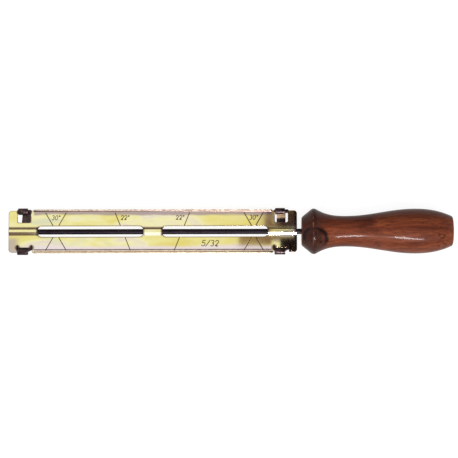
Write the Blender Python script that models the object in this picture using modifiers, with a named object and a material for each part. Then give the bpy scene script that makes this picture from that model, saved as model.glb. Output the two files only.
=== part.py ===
# A chainsaw file guide: a stamped plate, two swinging spring clips, a round file and its turned handle.
# Metres, +X from the tip to the handle's butt, +Z out of the plate's upper face. The origin is on the file's
# axis, halfway along the whole tool.
import math

import bmesh
import bpy
import numpy as np

MM = 0.001

# Running and seating gap between neighbouring pieces, and how far a cutter runs past what it cuts
SEAT_GAP = 0.3 * MM
CUT_OVERRUN = 3.0 * MM

# Round file, held in the half-round ribs with a fifth of its diameter above the plate's underside
FILE_DIAMETER = 3.97 * MM
FILE_LENGTH = 203.2 * MM
FILE_RISE_SHARE = 0.2
FILE_INSET = 6.2 * MM
FILE_TIP_CHAMFER = 0.5 * MM
TANG_LENGTH = 44.0 * MM
TANG_SHOULDER = 9.0 * MM
TANG_TIP_RADIUS = 0.9 * MM
TANG_WIDTH_SHARE = 0.94
TANG_THICKNESS_SHARE = 0.6

# Guide plate
PLATE_LENGTH = 208.0 * MM
PLATE_WIDTH = 31.75 * MM
PLATE_END_WIDTH = 30.2 * MM
PLATE_CORNER = 2.2 * MM
SHEET = 0.9 * MM
RIB_FILLET = 1.6 * MM
FLANGE_RISE = 2.9 * MM
FLANGE_BEND = 1.0 * MM
FLANGE_MARGIN = 0.4 * MM
FLANGE_RUNOUT = 1.4 * MM
SLOT_INSET = 21.0 * MM
BRIDGE_LENGTH = 13.8 * MM
SLOT_WIDTH = 7.6 * MM
SLOT_CORNER = 3.0 * MM
WINDOW_INSET = 6.6 * MM
WINDOW_LENGTH = 9.4 * MM
WINDOW_REACH = 8.0 * MM
WINDOW_CORNER = 1.2 * MM
NOTCH_INSET = 5.9 * MM
NOTCH_LENGTH = 11.1 * MM
RELIEF_RADIUS = 0.55 * MM
RELIEF_DEPTH = 1.6 * MM
HINGE_BAR_RADIUS = 1.4 * MM
HINGE_BAR_TAPER = 1.3 * MM

# Spring clips, one strap of sheet each
CLIP_SHEET = 0.7 * MM
CLIP_HEAD_WIDTH = 7.0 * MM
CLIP_STRAP_WIDTH = 6.4 * MM
CLIP_HOOK_WIDTH = 7.8 * MM
STRAP_OVERHANGS = (2.4 * MM, 0.6 * MM)
HOOK_OVERHANG = 0.2 * MM
CLIP_SHOULDER = 1.0 * MM
CLIP_CORNER = 0.8 * MM
CLIP_REACH = 29.0 * MM
CLIP_FLAT_SHARES = (0.1, 0.25, 0.5, 0.75)
SADDLE_FILLET = 1.2 * MM
HOOK_WRAP_DEG = 255.0
EYE_CLOSE_MARGIN_DEG = 3.0

# Turned handle: radii at the front face, bead, neck, belly and butt, and where along it they lie
HANDLE_LENGTH = 109.1 * MM
HANDLE_GAP = 3.3 * MM
FRONT_RADIUS = 9.5 * MM
FRONT_EDGE = 1.3 * MM
BEAD_RADIUS = 16.5 * MM
BEAD_AT = 8.9 * MM
BEAD_ROUND = 2.1 * MM
BEAD_DROP = 0.75 * MM
NECK_RADIUS = 11.05 * MM
NECK_AT = 32.1 * MM
BELLY_RADIUS = 16.2 * MM
BELLY_AT = 81.9 * MM
BUTT_RADIUS = 10.5 * MM
BUTT_EDGE = 1.2 * MM
BORE_END_ROOM = 1.5 * MM
NECK_POWER = 2.6
BUTT_POWER = 2.3

# Facets: sides of round pieces, points on curves, and how close points are merged
ROUND_STEPS = 40
FILE_SIDES = 32
TANG_RINGS = 8
CORNER_POINTS = 7
BEND_POINTS = 6
RIB_POINTS = 8
EYE_POINTS = 28
SADDLE_POINTS = 14
HOOK_POINTS = 24
HANDLE_EDGE_POINTS = 5
HANDLE_CURVE_POINTS = 9
BELLY_POINTS = 12
MERGE_DISTANCE = 0.001 * MM
SHARP_DEG = 35.0

# Places worked out from the sizes above, seen from the plate's tip end
FILE_RADIUS = FILE_DIAMETER / 2
UNDERSIDE = FILE_RADIUS - FILE_RISE_SHARE * FILE_DIAMETER
SHEET_MIDDLE = UNDERSIDE + SHEET / 2
RIB_RADIUS = FILE_RADIUS + SEAT_GAP
FLANGE_OUTER_BEND = FLANGE_BEND + SHEET
BEND_START = PLATE_WIDTH / 2 - FLANGE_OUTER_BEND
EYE_INNER = HINGE_BAR_RADIUS + SEAT_GAP
EYE_RADIUS = EYE_INNER + CLIP_SHEET / 2
EYE_OUTER = EYE_INNER + CLIP_SHEET
EYE_AT = CLIP_REACH / 2
NOTCH_EDGE = EYE_AT - EYE_OUTER - SEAT_GAP
NOTCH_END = NOTCH_INSET + NOTCH_LENGTH
WINDOW_EDGE = EYE_AT - WINDOW_REACH
STRAP_LEVEL = SHEET_MIDDLE - EYE_RADIUS
SADDLE_RADIUS = FILE_RADIUS + SEAT_GAP + CLIP_SHEET / 2
FILE_HEEL = FILE_INSET + FILE_LENGTH
HANDLE_FRONT = PLATE_LENGTH + HANDLE_GAP
OVERALL_LENGTH = HANDLE_FRONT + HANDLE_LENGTH
TIP_END = -OVERALL_LENGTH / 2
WINDOWS = (WINDOW_INSET, PLATE_LENGTH - WINDOW_INSET - WINDOW_LENGTH)
NOTCHES = (NOTCH_INSET, PLATE_LENGTH - NOTCH_INSET - NOTCH_LENGTH)


def clear_scene():
    for obj in list(bpy.data.objects):
        bpy.data.objects.remove(obj, do_unlink=True)


def collection(name):
    made = bpy.data.collections.new(name)
    bpy.context.scene.collection.children.link(made)
    return made


def material(name, color, roughness, metallic):
    made = bpy.data.materials.new(name)
    made.use_nodes = True
    shader = made.node_tree.nodes["Principled BSDF"]
    shader.inputs["Base Color"].default_value = (*color, 1)
    shader.inputs["Roughness"].default_value = roughness
    shader.inputs["Metallic"].default_value = metallic
    return made


def mesh_object(name, points, faces, into):
    mesh = bpy.data.meshes.new(name)
    mesh.from_pydata([tuple(map(float, p)) for p in points], [], faces)
    mesh.update()
    made = bpy.data.objects.new(name, mesh)
    into.objects.link(made)
    return made


def finish(obj, paint):
    obj.data.materials.append(paint)
    obj.data.shade_smooth()
    obj.data.set_sharp_from_angle(angle=math.radians(SHARP_DEG))


def arc(center, radius, start_deg, end_deg, count):
    # count points on a circle, both ends included, angles from the first axis towards the second
    angles = np.radians(np.linspace(start_deg, end_deg, count))
    return np.column_stack([center[0] + radius * np.cos(angles), center[1] + radius * np.sin(angles)])


def rounding(first, corner, last, count):
    # a quadratic curve that leaves first towards the corner and arrives at last from it
    t = np.linspace(0, 1, count)[:, None]
    return (1 - t) ** 2 * np.array(first) + 2 * t * (1 - t) * np.array(corner) + t**2 * np.array(last)


def grid_faces(rows, columns):
    return [
        (i * columns + j, (i + 1) * columns + j, (i + 1) * columns + j + 1, i * columns + j + 1)
        for i in range(rows - 1)
        for j in range(columns - 1)
    ]


def thicken(obj, thickness, offset):
    shell = obj.modifiers.new("thickness", "SOLIDIFY")
    shell.thickness = thickness
    shell.offset = offset
    shell.use_even_offset = True
    shell.use_quality_normals = True


def prism(name, outline, low, high, into):
    # a closed upright solid on a flat outline of (x, y) points
    body = bmesh.new()
    ring = [body.verts.new((x, y, low)) for x, y in outline]
    base = body.faces.new(ring)
    grown = bmesh.ops.extrude_face_region(body, geom=[base])
    top = [item for item in grown["geom"] if isinstance(item, bmesh.types.BMVert)]
    bmesh.ops.translate(body, verts=top, vec=(0, 0, high - low))
    bmesh.ops.recalc_face_normals(body, faces=body.faces)
    mesh = bpy.data.meshes.new(name)
    body.to_mesh(mesh)
    body.free()
    made = bpy.data.objects.new(name, mesh)
    into.objects.link(made)
    return made


def turned(name, profile, into, steps=ROUND_STEPS):
    # a profile of (distance along +X, radius) points turned round the X axis
    made = mesh_object(name, [(radius, 0, along) for along, radius in profile], [], into)
    edges = bmesh.new()
    edges.from_mesh(made.data)
    edges.verts.ensure_lookup_table()
    for first, second in zip(edges.verts[:-1], edges.verts[1:]):
        edges.edges.new((first, second))
    edges.to_mesh(made.data)
    edges.free()
    made.rotation_euler = (0, math.radians(90), 0)
    screw = made.modifiers.new("turned", "SCREW")
    screw.steps = steps
    screw.render_steps = steps
    screw.use_merge_vertices = True
    screw.merge_threshold = MERGE_DISTANCE
    screw.use_normal_calculate = True
    return made


def join(target, other, operation):
    change = target.modifiers.new(f"{operation.lower()} {other.name}", "BOOLEAN")
    change.operation = operation
    change.object = other
    change.solver = "EXACT"
    other.hide_render = True
    other.display_type = "WIRE"


def rounded_slot(left, right, low, high, corner):
    corners = (
        ((right - corner, high - corner), 0),
        ((left + corner, high - corner), 90),
        ((left + corner, low + corner), 180),
        ((right - corner, low + corner), 270),
    )
    return np.vstack([arc(center, corner, start, start + 90, CORNER_POINTS) for center, start in corners])


def half_section(half_width, bend):
    # The underside from the middle outwards: rib, its fillet, the flat, then an edge strip that is flat at
    # bend 0 and turned up into the flange at bend 1
    fillet = RIB_FILLET + SHEET
    fillet_level = UNDERSIDE + fillet
    fillet_at = math.sqrt((RIB_RADIUS + fillet) ** 2 - fillet_level**2)
    meet = math.degrees(math.atan2(fillet_level, fillet_at))
    rib = arc((0, 0), RIB_RADIUS, 90, meet, RIB_POINTS)
    foot = arc((fillet_at, fillet_level), fillet, meet + 180, 270, BEND_POINTS)[1:]
    edge_strip = PLATE_END_WIDTH / 2 - BEND_START
    turn = arc((BEND_START, UNDERSIDE + FLANGE_OUTER_BEND), FLANGE_OUTER_BEND, -90, 0, BEND_POINTS)
    flange = np.vstack([turn, (PLATE_WIDTH / 2, UNDERSIDE + FLANGE_RISE)])
    level = np.column_stack(
        [np.linspace(half_width - edge_strip, half_width, len(flange)), np.full(len(flange), UNDERSIDE)]
    )
    return np.vstack([rib, foot, level + bend * (flange - level)])


def plate_stations():
    # (x, half width, bend) from the tip end to the middle: rounded corner, then the flange's run-out
    corner_center = (PLATE_CORNER, PLATE_END_WIDTH / 2 - PLATE_CORNER)
    round_off = arc(corner_center, PLATE_CORNER, 180, 90, CORNER_POINTS)
    stations = [(x, half_width, 0) for x, half_width in round_off]
    stations.append((NOTCH_END + FLANGE_MARGIN / 2, PLATE_END_WIDTH / 2, 0))
    for t in np.linspace(0, 1, BEND_POINTS):
        x = NOTCH_END + FLANGE_MARGIN + t * FLANGE_RUNOUT
        stations.append((x, PLATE_END_WIDTH / 2, t * t * (3 - 2 * t)))
    mirrored = [(PLATE_LENGTH - x, half_width, bend) for x, half_width, bend in reversed(stations)]
    return stations + mirrored


def plate_sheet(into):
    rows = []
    for x, half_width, bend in plate_stations():
        half = half_section(half_width, bend)
        lower = half[:0:-1] * (-1, 1)
        rows.append([(TIP_END + x, y, z) for y, z in np.vstack([lower, half])])
    made = mesh_object("guide_plate", np.vstack(rows), grid_faces(len(rows), len(rows[0])), into)
    thicken(made, SHEET, 1)
    return made


def slot_cutters(into):
    slot_length = (PLATE_LENGTH - 2 * SLOT_INSET - BRIDGE_LENGTH) / 2
    for side, left in (("tip", SLOT_INSET), ("handle", PLATE_LENGTH - SLOT_INSET - slot_length)):
        x = TIP_END + left
        outline = rounded_slot(x, x + slot_length, -SLOT_WIDTH / 2, SLOT_WIDTH / 2, SLOT_CORNER)
        yield prism(f"{side}_slot_cut", outline, -CUT_OVERRUN, RIB_RADIUS + SHEET + CUT_OVERRUN, into)


def window_cutters(into):
    for side, left in zip(("tip", "handle"), WINDOWS):
        x = TIP_END + left
        high = PLATE_WIDTH / 2 + CUT_OVERRUN
        outline = rounded_slot(x, x + WINDOW_LENGTH, WINDOW_EDGE, high, WINDOW_CORNER)
        yield prism(f"{side}_window_cut", outline, -CUT_OVERRUN, UNDERSIDE + SHEET + CUT_OVERRUN, into)


def notch_cutters(into):
    # a straight-edged bite with a round-ended relief at each inner corner
    for side, left in zip(("tip", "handle"), NOTCHES):
        x = TIP_END + left
        relief_top = RELIEF_DEPTH - RELIEF_RADIUS - NOTCH_EDGE
        far = x + NOTCH_LENGTH - RELIEF_RADIUS
        outline = np.vstack(
            [
                (x + NOTCH_LENGTH, -PLATE_WIDTH / 2 - CUT_OVERRUN),
                arc((far, relief_top), RELIEF_RADIUS, 0, 180, CORNER_POINTS),
                (far - RELIEF_RADIUS, -NOTCH_EDGE),
                (x + 2 * RELIEF_RADIUS, -NOTCH_EDGE),
                arc((x + RELIEF_RADIUS, relief_top), RELIEF_RADIUS, 0, 180, CORNER_POINTS),
                (x, -PLATE_WIDTH / 2 - CUT_OVERRUN),
            ]
        )
        yield prism(f"{side}_notch_cut", outline, -CUT_OVERRUN, UNDERSIDE + SHEET + CUT_OVERRUN, into)


def hinge_bars(into):
    # the strip outside each window, rounded to a bar that fairs into the sheet at both ends
    for side, left in zip(("tip", "handle"), WINDOWS):
        profile = [
            (-HINGE_BAR_TAPER, 0),
            (0, HINGE_BAR_RADIUS),
            (WINDOW_LENGTH, HINGE_BAR_RADIUS),
            (WINDOW_LENGTH + HINGE_BAR_TAPER, 0),
        ]
        bar = turned(f"{side}_hinge_bar", profile, into, ROUND_STEPS // 2)
        bar.location = (TIP_END + left, EYE_AT, SHEET_MIDDLE)
        yield bar


def make_plate(parts, cutters):
    plate = plate_sheet(parts)
    for cutter in (*slot_cutters(cutters), *window_cutters(cutters), *notch_cutters(cutters)):
        join(plate, cutter, "DIFFERENCE")
    for bar in hinge_bars(cutters):
        join(plate, bar, "UNION")
    finish(plate, material("yellow_passivated_zinc", (0.86, 0.74, 0.36), 0.32, 0.9))


def clip_path():
    # The strap's middle line in (y, z): the eye rolled round the hinge bar, the flat, the saddle under the
    # file, the flat again and the curled hook
    level = STRAP_LEVEL - SADDLE_FILLET
    fillet_at = math.sqrt((SADDLE_RADIUS + SADDLE_FILLET) ** 2 - level**2)
    meet = math.degrees(math.atan2(-level, fillet_at))
    close = math.degrees(math.asin((EYE_INNER - SEAT_GAP) / EYE_OUTER)) - EYE_CLOSE_MARGIN_DEG
    flat_length = EYE_AT - fillet_at
    flat = np.array([(EYE_AT - flat_length * share, STRAP_LEVEL) for share in CLIP_FLAT_SHARES])
    pieces = (
        arc((EYE_AT, SHEET_MIDDLE), EYE_RADIUS, 180 + close, -90, EYE_POINTS),
        flat,
        arc((fillet_at, level), SADDLE_FILLET, 90, 180 - meet, BEND_POINTS),
        arc((0, 0), SADDLE_RADIUS, -meet, meet - 180, SADDLE_POINTS)[1:],
        arc((-fillet_at, level), SADDLE_FILLET, meet, 90, BEND_POINTS)[1:],
        flat[::-1] * (-1, 1),
        arc((-EYE_AT, SHEET_MIDDLE), EYE_RADIUS, -90, -90 - HOOK_WRAP_DEG, HOOK_POINTS),
    )
    return np.vstack(pieces)


def clip_edges(run, roll, curl, overhang):
    # How far the strap reaches to both sides along its run: a wide head, a waist that starts past the head's
    # right side and leans back, more at the tip than at the handle, and a wider hook, with rounded corners
    total = run[-1]
    waist_start = roll + CLIP_SHOULDER
    waist_end = total - curl - 2 * CLIP_SHOULDER
    stops = (roll, waist_start, waist_end, waist_end + CLIP_SHOULDER)
    first, last = CLIP_HEAD_WIDTH + overhang, CLIP_HEAD_WIDTH + HOOK_OVERHANG
    right = np.interp(run, stops[:3], (CLIP_HEAD_WIDTH, first, last))
    waist = (first - CLIP_STRAP_WIDTH, last - CLIP_STRAP_WIDTH)
    left = np.interp(run, stops, (0, *waist, last - CLIP_HOOK_WIDTH))
    from_end = np.clip(CLIP_CORNER - np.minimum(run, total - run), 0, CLIP_CORNER)
    inset = CLIP_CORNER - np.sqrt(CLIP_CORNER**2 - from_end**2)
    return left + inset, right - inset


def make_clip(name, x, overhang, parts, paint):
    path = clip_path()
    run = np.concatenate([[0], np.cumsum(np.linalg.norm(np.diff(path, axis=0), axis=1))])
    roll = run[EYE_POINTS - 1]
    curl = run[-1] - run[-HOOK_POINTS]
    left, right = clip_edges(run, roll, curl, overhang)
    shares = np.linspace(0, 1, 3)
    points = [
        (low + (high - low) * share, y - EYE_AT, z - SHEET_MIDDLE)
        for (y, z), low, high in zip(path, left, right)
        for share in shares
    ]
    clip = mesh_object(name, points, grid_faces(len(path), len(shares)), parts)
    clip.location = (x, EYE_AT, SHEET_MIDDLE)
    thicken(clip, CLIP_SHEET, 0)
    finish(clip, paint)


def tang_radius(from_heel):
    # the tang's taper, which the handle's hole follows
    return FILE_RADIUS + (TANG_TIP_RADIUS - FILE_RADIUS) * from_heel / TANG_LENGTH


def file_ring(radius, half_width, half_thickness):
    # a circle with flats: each point lies on the circle or on the nearer flat, whichever is further in
    angles = np.radians(np.arange(FILE_SIDES) * 360 / FILE_SIDES)
    flat = 1 / np.maximum(np.abs(np.cos(angles)) / half_width, np.abs(np.sin(angles)) / half_thickness)
    reach = np.minimum(radius, flat)
    return np.column_stack([reach * np.cos(angles), reach * np.sin(angles)])


def make_file(parts):
    full = (FILE_RADIUS, FILE_RADIUS, FILE_RADIUS)
    nose = FILE_RADIUS - FILE_TIP_CHAMFER
    rings = [(0, (nose, nose, nose)), (FILE_TIP_CHAMFER, full), (FILE_LENGTH, full)]
    for share in np.linspace(0, 1, TANG_RINGS + 1)[1:]:
        from_heel = TANG_LENGTH * share
        radius = tang_radius(from_heel)
        flattening = min(1, from_heel / TANG_SHOULDER)
        width = radius * (1 - flattening * (1 - TANG_WIDTH_SHARE))
        thickness = radius * (1 - flattening * (1 - TANG_THICKNESS_SHARE))
        rings.append((FILE_LENGTH + from_heel, (radius, width, thickness)))
    points = [(x, y, z) for x, sizes in rings for y, z in file_ring(*sizes)]
    faces = []
    for i in range(len(rings) - 1):
        for j in range(FILE_SIDES):
            k = (j + 1) % FILE_SIDES
            first, second = i * FILE_SIDES, (i + 1) * FILE_SIDES
            faces.append((first + j, second + j, second + k, first + k))
    last = (len(rings) - 1) * FILE_SIDES
    faces.append(tuple(range(FILE_SIDES)))
    faces.append(tuple(last + j for j in reversed(range(FILE_SIDES))))
    made = mesh_object("round_file", points, faces, parts)
    body = bmesh.new()
    body.from_mesh(made.data)
    bmesh.ops.recalc_face_normals(body, faces=body.faces)
    body.to_mesh(made.data)
    body.free()
    made.location = (TIP_END + FILE_INSET, 0, 0)
    finish(made, material("file_steel", (0.05, 0.045, 0.05), 0.4, 0.85))


def handle_outline():
    # (distance from the front face, radius): a coned front, a bead, a waisted neck, a belly and a flat butt
    cone_end = (BEAD_AT - BEAD_ROUND, BEAD_RADIUS - BEAD_DROP)
    fall_start = (BEAD_AT + BEAD_ROUND, BEAD_RADIUS - BEAD_DROP)
    crest = (BEAD_AT, BEAD_RADIUS + BEAD_DROP)
    slope = (cone_end[1] - FRONT_RADIUS - FRONT_EDGE / 2) / cone_end[0]
    face_edge = (FRONT_EDGE, FRONT_RADIUS + FRONT_EDGE / 2 + slope * FRONT_EDGE)
    front = rounding((0, FRONT_RADIUS), (0, FRONT_RADIUS + FRONT_EDGE / 2), face_edge, HANDLE_EDGE_POINTS)
    bead = rounding(cone_end, crest, fall_start, HANDLE_CURVE_POINTS)
    along = np.linspace(fall_start[0], NECK_AT, HANDLE_CURVE_POINTS + 1)[1:]
    fall = (NECK_AT - along) / (NECK_AT - fall_start[0])
    neck = np.column_stack([along, NECK_RADIUS + (fall_start[1] - NECK_RADIUS) * fall**NECK_POWER])
    turn = np.linspace(0, 1, BELLY_POINTS + 1)[1:]
    swell = np.column_stack(
        [
            NECK_AT + (BELLY_AT - NECK_AT) * turn,
            NECK_RADIUS + (BELLY_RADIUS - NECK_RADIUS) * (1 - np.cos(math.pi * turn)) / 2,
        ]
    )
    close = np.linspace(0, 1 - BUTT_EDGE / (HANDLE_LENGTH - BELLY_AT), HANDLE_CURVE_POINTS + 1)[1:]
    belly = np.column_stack(
        [
            BELLY_AT + (HANDLE_LENGTH - BELLY_AT) * close,
            BELLY_RADIUS - (BELLY_RADIUS - BUTT_RADIUS) * close**BUTT_POWER,
        ]
    )
    butt_corner = (HANDLE_LENGTH, BUTT_RADIUS)
    butt_face = (HANDLE_LENGTH, BUTT_RADIUS - BUTT_EDGE)
    butt = rounding(belly[-1], butt_corner, butt_face, HANDLE_EDGE_POINTS)[1:]
    return np.vstack([front, bead, neck, swell, belly, butt])


def make_handle(parts):
    # the hole first, from its closed end out to the front face, then the outside back to the axis
    tang_end = FILE_HEEL + TANG_LENGTH - HANDLE_FRONT
    mouth = tang_radius(HANDLE_FRONT - FILE_HEEL) + SEAT_GAP
    floor = tang_end + BORE_END_ROOM
    hole = [(floor, 0), (floor, TANG_TIP_RADIUS), (tang_end, TANG_TIP_RADIUS + SEAT_GAP), (0, mouth)]
    profile = np.vstack([hole, handle_outline(), (HANDLE_LENGTH, 0)])
    handle = turned("handle", profile, parts)
    handle.location = (TIP_END + HANDLE_FRONT, 0, 0)
    finish(handle, material("varnished_hardwood", (0.28, 0.09, 0.04), 0.3, 0))


def main():
    clear_scene()
    parts = collection("chainsaw_file_guide")
    cutters = collection("cutters")
    make_plate(parts, cutters)
    clip_paint = material("blackened_spring_steel", (0.045, 0.04, 0.045), 0.35, 0.7)
    for name, window, overhang in zip(("tip_clip", "handle_clip"), WINDOWS, STRAP_OVERHANGS):
        make_clip(name, TIP_END + window + SEAT_GAP, overhang, parts, clip_paint)
    make_file(parts)
    make_handle(parts)


main()
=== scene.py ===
import math

import bpy
import numpy as np
from mathutils import Matrix, Vector
from mathutils.geometry import delaunay_2d_cdt


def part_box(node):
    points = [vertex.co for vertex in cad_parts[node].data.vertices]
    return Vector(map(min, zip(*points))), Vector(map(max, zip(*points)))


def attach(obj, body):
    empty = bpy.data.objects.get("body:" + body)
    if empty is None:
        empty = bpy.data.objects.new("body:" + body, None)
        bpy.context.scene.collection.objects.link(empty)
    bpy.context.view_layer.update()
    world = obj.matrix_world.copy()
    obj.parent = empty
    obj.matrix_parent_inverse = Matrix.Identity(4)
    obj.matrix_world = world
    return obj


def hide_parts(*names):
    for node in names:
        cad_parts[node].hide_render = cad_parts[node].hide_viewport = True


# A chainsaw file guide with its file and handle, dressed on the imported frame.
# Shapes are worked out in millimetres and turned to metres when the mesh is made.
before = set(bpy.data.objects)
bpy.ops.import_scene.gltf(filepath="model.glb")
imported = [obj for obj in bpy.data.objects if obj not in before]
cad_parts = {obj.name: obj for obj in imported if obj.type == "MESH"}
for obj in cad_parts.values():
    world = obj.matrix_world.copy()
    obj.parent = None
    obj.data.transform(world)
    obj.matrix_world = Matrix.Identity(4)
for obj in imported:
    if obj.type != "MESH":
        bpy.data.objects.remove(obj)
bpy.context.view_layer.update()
mm = 0.001


def boxInMm(node):
    low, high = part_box(node)
    return np.array(low) / mm, np.array(high) / mm


plateLow, plateHigh = boxInMm("guide_plate")
plateLength = plateHigh[0] - plateLow[0]
fileLow, fileHigh = boxInMm("round_file")
handleLow, handleHigh = boxInMm("handle")
clipBoxes = {name: boxInMm(name) for name in ("tip_clip", "handle_clip")}
tipEnd = plateLow[0]
fileRadius = fileHigh[2]


def addObject(name, data):
    made = bpy.data.objects.new(name, data)
    bpy.context.scene.collection.objects.link(made)
    return made


def makePiece(name, points, faces, material, body, node, slot, sharpDeg=38, **attributes):
    # A finished mesh in place of one CAD node: points in millimetres, faces as index rows, and for each
    # attribute that its material reads a value at every point.
    mesh = bpy.data.meshes.new(name)
    mesh.from_pydata((np.asarray(points) * mm).tolist(), [], [list(map(int, face)) for face in faces])
    mesh.update()
    mesh.validate()
    mesh.shade_smooth()
    mesh.set_sharp_from_angle(angle=math.radians(sharpDeg))
    mesh.materials.append(material)
    for attribute, values in attributes.items():
        layer = mesh.attributes.new(attribute, "FLOAT", "POINT")
        layer.data.foreach_set("value", np.asarray(values, np.float32))
    piece = addObject(name, mesh)
    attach(piece, body)
    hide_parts(node)


def ringFaces(rings, around, step=-1):
    # Quads over closed rings of points, ring after ring, and a cap on the first and the last ring. The rings
    # run anticlockwise as seen from the last one; where they run clockwise, the step is 1.
    first = np.arange(rings - 1)[:, None] * around
    here, beside = first + np.arange(around), first + (np.arange(around) + 1) % around
    quads = np.stack([here, here + around, beside + around, beside], axis=2).reshape(-1, 4).tolist()
    caps = [list(range(around)), list(range(around * (rings - 1), around * rings))[::-1]]
    return [face[::step] for face in quads + caps]


def columns(*parts):
    # Arrays and single values side by side, one row for each point.
    return np.column_stack(np.broadcast_arrays(*parts))


def arcPoints(centre, radius, startDeg, endDeg, count):
    # Points on a circle from one angle to another, both ends included.
    angles = np.radians(np.linspace(startDeg, endDeg, count))
    return columns(centre[0] + radius * np.cos(angles), centre[1] + radius * np.sin(angles))


def leftOf(along):
    # The unit vector to the left of each row's direction.
    along = along / np.linalg.norm(along, axis=1)[:, None]
    return columns(-along[:, 1], along[:, 0])


def turnedGrid(along, count):
    # Each place along a turned piece with each angle round it, as two arrays.
    return np.meshgrid(along, np.arange(count) * 2 * math.pi / count, indexing="ij")


def turnedMesh(along, radius, around):
    # Points and faces of a turned piece from its places, radii and angles.
    points = np.stack([along, radius * np.cos(around), radius * np.sin(around)], axis=2)
    return points.reshape(-1, 3), ringFaces(*radius.shape)


def smooth(t):
    # Eases from 0 to 1, by three squares less two cubes.
    t = np.clip(t, 0, 1)
    return t * t * (3 - 2 * t)


def hump(x, start, end, rise, fall):
    # Eases from 0 to 1 past the start and back to 0 before the end.
    return smooth((x - start) / rise) * smooth((end - x) / fall)


# Guide plate: a flat blank with its openings and marks, triangulated once and then bent to its section

plate = {
    "sheet": 0.9,
    "ribGap": 0.3,
    "ribFillet": 1.6,
    "endHalfWidth": 15.1,
    "corner": 2.2,
    "flangeHalfWidth": 15.875,
    "flangeBend": 1.0,
    "flangeTop": plateHigh[2],
    "runOutStart": 17.4,
    "runOut": 1.4,
    "slotInset": 21.0,
    "bridge": 13.8,
    "slotHalfWidth": 3.8,
    "slotCorner": 3.0,
    "windowInset": 6.6,
    "windowLength": 9.4,
    "windowEdge": 6.5,
    "windowCorner": 1.2,
    "barAt": 14.5,
    "barRadius": 1.4,
    "barTaper": 1.3,
    "barZone": 2.0,
    "notchInset": 5.9,
    "notchLength": 11.1,
    "notchEdge": 11.8,
    "reliefRadius": 0.55,
    "reliefDepth": 1.6,
    "edgeRound": 0.2,
    "thinnest": 0.05,
    "rimReach": 0.6,
    "edgeSupport": 0.05,
    "wave": 0.035,
    "endRoll": 0.12,
    "endRollLength": 2.6,
    "bulge": (194.0, -8.8, 4.0, 3.2, 0.06),
    "gridStep": 2.5,
}

ribMiddle = fileRadius + plate["ribGap"] + plate["sheet"] / 2
footMiddle = plate["ribFillet"] + plate["sheet"] / 2
flatLevel = plateLow[2] + plate["barRadius"]  # the hinge bars reach lowest, about the sheet's middle
footCentre = flatLevel + footMiddle
footAt = math.sqrt((ribMiddle + footMiddle) ** 2 - footCentre**2)
ribTurn = math.pi / 2 - math.atan2(footCentre, footAt)
ribEnd = ribMiddle * ribTurn
footEnd = ribEnd + footMiddle * ribTurn
blankExtra = footEnd - footAt
bendMiddle = plate["flangeBend"] + plate["sheet"] / 2
bendAt = plate["flangeHalfWidth"] - plate["flangeBend"] - plate["sheet"]
bendStart = bendAt + blankExtra
bendLength = bendMiddle * math.pi / 2
flangeEdge = bendStart + bendLength + plate["flangeTop"] - flatLevel - bendMiddle


def toBlank(y):
    # Distance across the flat blank for a distance across the finished plate, rib unrolled.
    a = np.abs(y)
    onRib = ribMiddle * np.arcsin(np.clip(a / ribMiddle, 0, 1))
    onFoot = footEnd - footMiddle * np.arcsin(np.clip((footAt - a) / footMiddle, 0, 1))
    s = np.where(a < ribMiddle * math.sin(ribTurn), onRib, np.where(a < footAt, onFoot, a + blankExtra))
    return np.sign(y) * s


def onBlank(points):
    return columns(points[:, 0], toBlank(points[:, 1]))


def bendShare(x):
    # How far the flanges are bent up: eases from nothing to all of it past the start of each run-out.
    fromEnd = np.minimum(x, plateLength - x) - plate["runOutStart"]
    return smooth(fromEnd / plate["runOut"])


def bentSheet(x, s):
    # Middle of the sheet over the blank: the rib is an arc, its foot an arc the other way, then the flat,
    # then the flange's bend, which opens to nothing at both ends. Gives y, z and the slope's angle.
    a = np.abs(s)
    foot = np.clip((footEnd - a) / footMiddle, 0, ribTurn)
    slope = np.where(a < ribEnd, -a / ribMiddle, -foot)
    y = np.where(a < ribEnd, ribMiddle * np.sin(a / ribMiddle), footAt - footMiddle * np.sin(foot))
    y = np.where(a > footEnd, a - blankExtra, y)
    z = np.where(a < ribEnd, ribMiddle * np.cos(a / ribMiddle), footCentre - footMiddle * np.cos(foot))
    beyond = np.maximum(a - bendStart, 0)
    turn = np.maximum(bendShare(x) * math.pi / 2, 1e-6)
    inBend = np.minimum(beyond, bendLength)
    angle = turn * inBend / bendLength
    radius = bendLength / turn
    past = beyond - inBend
    # the half-open bend stays within the flange's outer face
    widest = bendMiddle + plate["sheet"] / 2 * (1 - np.sin(angle))
    y = np.where(beyond > 0, bendAt + np.minimum(radius * np.sin(angle) + past * np.cos(turn), widest), y)
    z = np.where(beyond > 0, flatLevel + radius * (1 - np.cos(angle)) + past * np.sin(turn), z)
    slope = np.where(beyond > 0, angle, slope)
    return np.sign(s) * y, z, np.sign(s) * slope


def windowSpans():
    # Where the window of each clip starts and ends, one near each end of the plate.
    first, last = plate["windowInset"], plateLength - plate["windowInset"] - plate["windowLength"]
    return (first, first + plate["windowLength"]), (last, last + plate["windowLength"])


def barRadiusAt(x):
    # Radius of the hinge bar beside a window, which tapers into the sheet at both ends.
    radius, taper = np.zeros_like(x), plate["barTaper"]
    for left, right in windowSpans():
        radius = np.maximum(radius, plate["barRadius"] * hump(x, left - taper, right + taper, taper, taper))
    return radius


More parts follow.
